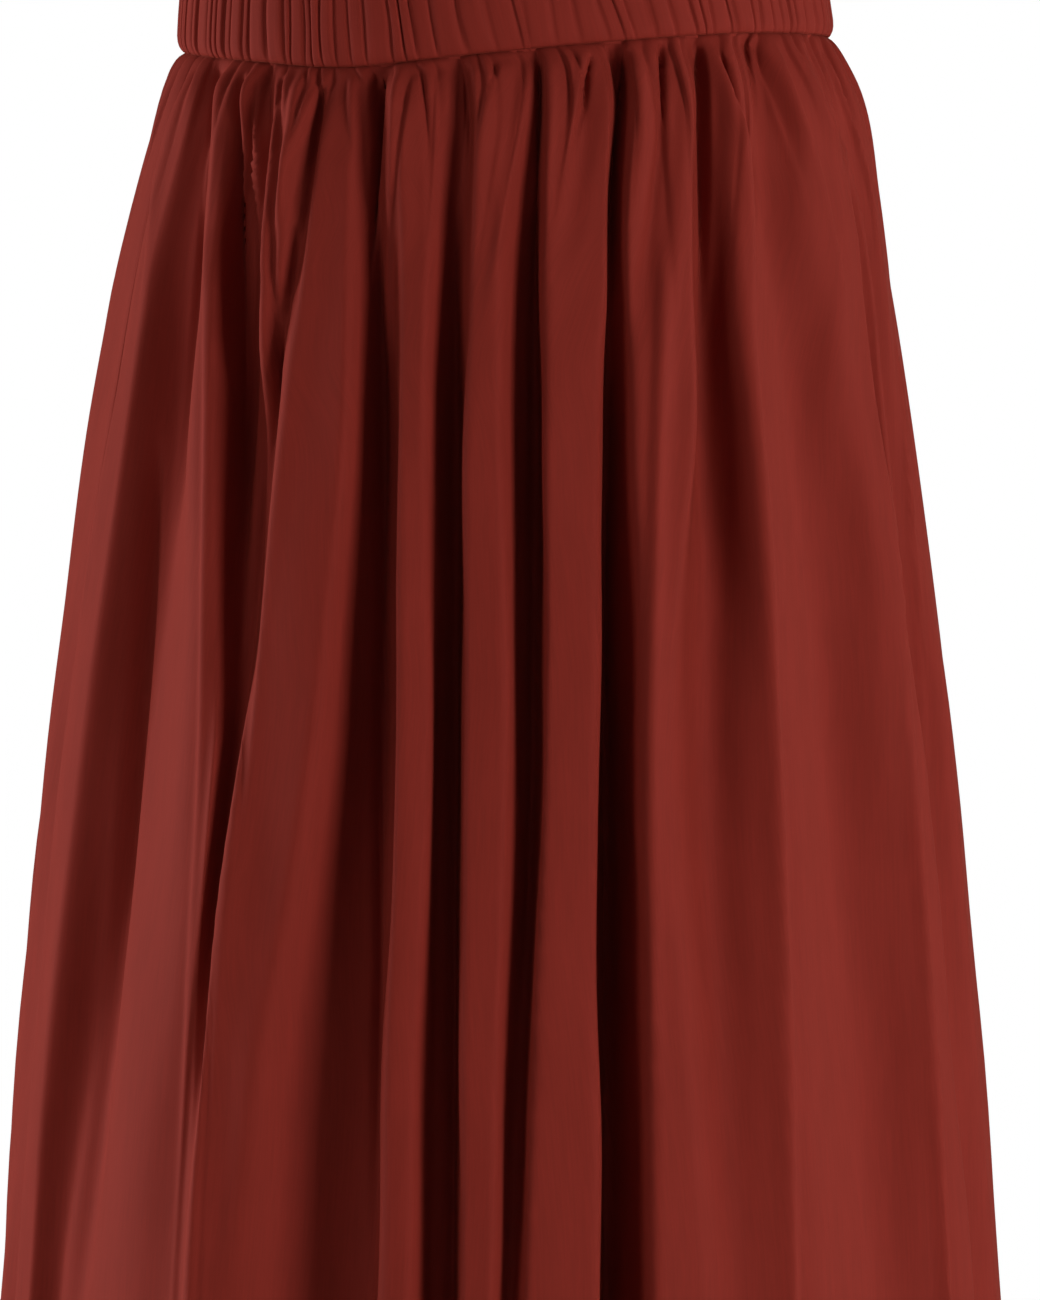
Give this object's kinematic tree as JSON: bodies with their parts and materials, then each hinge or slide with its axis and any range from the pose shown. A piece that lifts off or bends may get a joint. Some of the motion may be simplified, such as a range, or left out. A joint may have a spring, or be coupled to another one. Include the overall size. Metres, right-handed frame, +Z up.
{
  "type": "gathered midi skirt",
  "caption": "Gathered midi skirt of red-brown woven cloth on a soft elasticated waistband, hollow and open at waist and hem, falling in deep uneven folds",
  "frame": {"origin": "middle of the waist opening, at the level of the waist seam, where the wearer holds the skirt up", "axes": "+Z up through the waist opening, the front of the skirt faces -Y, the wearer's left is +X"},
  "size_m": [0.4505, 0.3918, 0.8462],
  "materials": {
    "skirt_front_cloth": "smooth plain-woven cloth, matt with a soft sheen",
    "skirt_back_cloth": "smooth plain-woven cloth, matt with a soft sheen",
    "waistband_front_cloth": "the same cloth, puckered over an elastic",
    "waistband_back_cloth": "the same cloth, puckered over an elastic"
  },
  "bodies": {
    "root": {"skirt_front": "skirt_front_cloth", "skirt_back": "skirt_back_cloth", "waistband_front": "waistband_front_cloth", "waistband_back": "waistband_back_cloth"}
  },
  "joints": []
}
